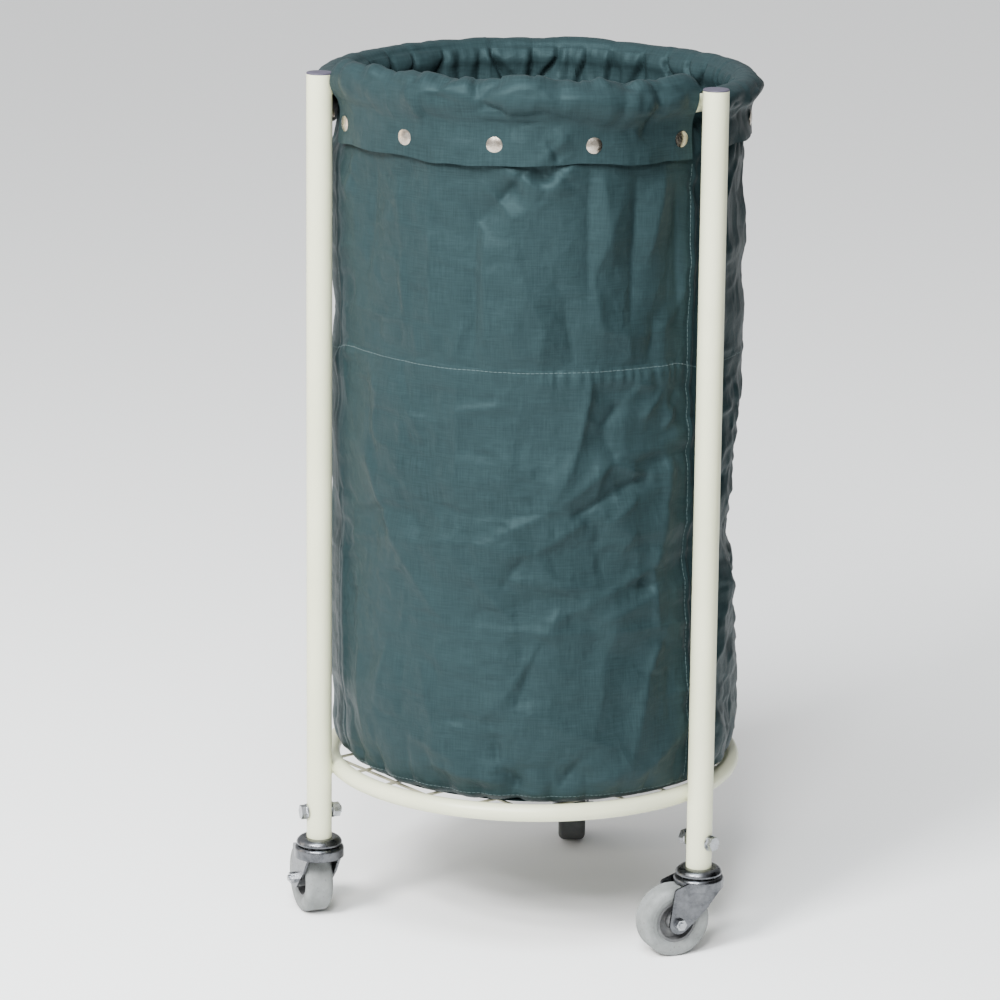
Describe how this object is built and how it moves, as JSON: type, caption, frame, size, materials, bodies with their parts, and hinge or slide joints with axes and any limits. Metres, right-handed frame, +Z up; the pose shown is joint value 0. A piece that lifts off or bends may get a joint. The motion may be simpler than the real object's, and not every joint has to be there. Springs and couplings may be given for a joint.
{
  "type": "linen trolley",
  "caption": "Round linen trolley: a three-post tube frame on swivel castors holds an open-topped fabric bag between two hoops, with its cuff folded over the top hoop and snapped down.",
  "frame": {"origin": "on the floor, under the centre of the trolley's box; the hoops' common axis is 8.7 mm to +X and 16.0 mm to -Y of it", "axes": "+Z up; -Y is the open front, with a post each side of it and the third post at the rear on +Y; +X to the right seen from the front"},
  "size_m": [0.4556, 0.4662, 0.8805],
  "materials": {
    "powder_coat": "cream powder coat, satin",
    "cap_plastic": "dark moulded plastic",
    "pressed_zinc": "bright zinc on pressed steel",
    "zinc_plate": "zinc plated",
    "bearing_steel": "polished",
    "hub_plastic": "dark moulded plastic",
    "grey_tyre": "non-marking grey rubber",
    "bag_cloth": "coated woven nylon, dark green",
    "nickel_snap": "nickel plated brass"
  },
  "bodies": {
    "root": {"top_hoop": "powder_coat", "base_hoop": "powder_coat", "base_mesh": "powder_coat", "left_post": "powder_coat", "left_post_cap": "cap_plastic", "left_castor_stem": "zinc_plate", "left_castor_cup": "pressed_zinc", "left_lower_race": "bearing_steel", "right_post": "powder_coat", "right_post_cap": "cap_plastic", "right_castor_stem": "zinc_plate", "right_castor_cup": "pressed_zinc", "right_lower_race": "bearing_steel", "rear_post": "powder_coat", "rear_post_cap": "cap_plastic", "rear_castor_stem": "zinc_plate", "rear_castor_cup": "pressed_zinc", "rear_lower_race": "bearing_steel", "stem_bolts": "zinc_plate", "stem_washers": "zinc_plate", "stem_nuts": "zinc_plate", "bag_bottom_panel": "bag_cloth", "bag_upper_front": "bag_cloth", "bag_lower_front": "bag_cloth", "bag_flap_front": "bag_cloth", "bag_upper_right": "bag_cloth", "bag_lower_right": "bag_cloth", "bag_flap_right": "bag_cloth", "bag_upper_left": "bag_cloth", "bag_lower_left": "bag_cloth", "bag_flap_left": "bag_cloth", "snap_caps": "nickel_snap", "snap_sockets": "nickel_snap", "snap_studs": "nickel_snap"},
    "left_castor_fork": {"left_fork": "pressed_zinc", "left_upper_balls": "bearing_steel", "left_lower_balls": "bearing_steel", "left_axle_sleeve": "zinc_plate", "left_axle_bolt": "zinc_plate", "left_axle_nut": "zinc_plate"},
    "left_castor_wheel": {"left_wheel_hub": "hub_plastic", "left_tyre": "grey_tyre"},
    "right_castor_fork": {"right_fork": "pressed_zinc", "right_upper_balls": "bearing_steel", "right_lower_balls": "bearing_steel", "right_axle_sleeve": "zinc_plate", "right_axle_bolt": "zinc_plate", "right_axle_nut": "zinc_plate"},
    "right_castor_wheel": {"right_wheel_hub": "hub_plastic", "right_tyre": "grey_tyre"},
    "rear_castor_fork": {"rear_fork": "pressed_zinc", "rear_upper_balls": "bearing_steel", "rear_lower_balls": "bearing_steel", "rear_axle_sleeve": "zinc_plate", "rear_axle_bolt": "zinc_plate", "rear_axle_nut": "zinc_plate"},
    "rear_castor_wheel": {"rear_wheel_hub": "hub_plastic", "rear_tyre": "grey_tyre"}
  },
  "joints": [
    {"name": "left_castor_swivel", "type": "hinge", "parent": "root", "child": "left_castor_fork", "pos_m": [-0.18538, -0.12805, 0.079], "axis": [0, 0, 1], "continuous": true},
    {"name": "left_wheel_spin", "type": "hinge", "parent": "left_castor_fork", "child": "left_castor_wheel", "pos_m": [-0.1998, -0.10405, 0.0355], "axis": [-0.8572, -0.515, 0], "continuous": true},
    {"name": "right_castor_swivel", "type": "hinge", "parent": "root", "child": "right_castor_fork", "pos_m": [0.20278, -0.12805, 0.079], "axis": [0, 0, 1], "continuous": true},
    {"name": "right_wheel_spin", "type": "hinge", "parent": "right_castor_fork", "child": "right_castor_wheel", "pos_m": [0.17984, -0.14411, 0.0355], "axis": [0.5736, -0.8192, 0], "continuous": true},
    {"name": "rear_castor_swivel", "type": "hinge", "parent": "root", "child": "rear_castor_fork", "pos_m": [0.0087, 0.2081, 0.079], "axis": [0, 0, 1], "continuous": true},
    {"name": "rear_wheel_spin", "type": "hinge", "parent": "rear_castor_fork", "child": "rear_castor_wheel", "pos_m": [0.01452, 0.18071, 0.0355], "axis": [0.9781, 0.2079, 0], "continuous": true}
  ]
}
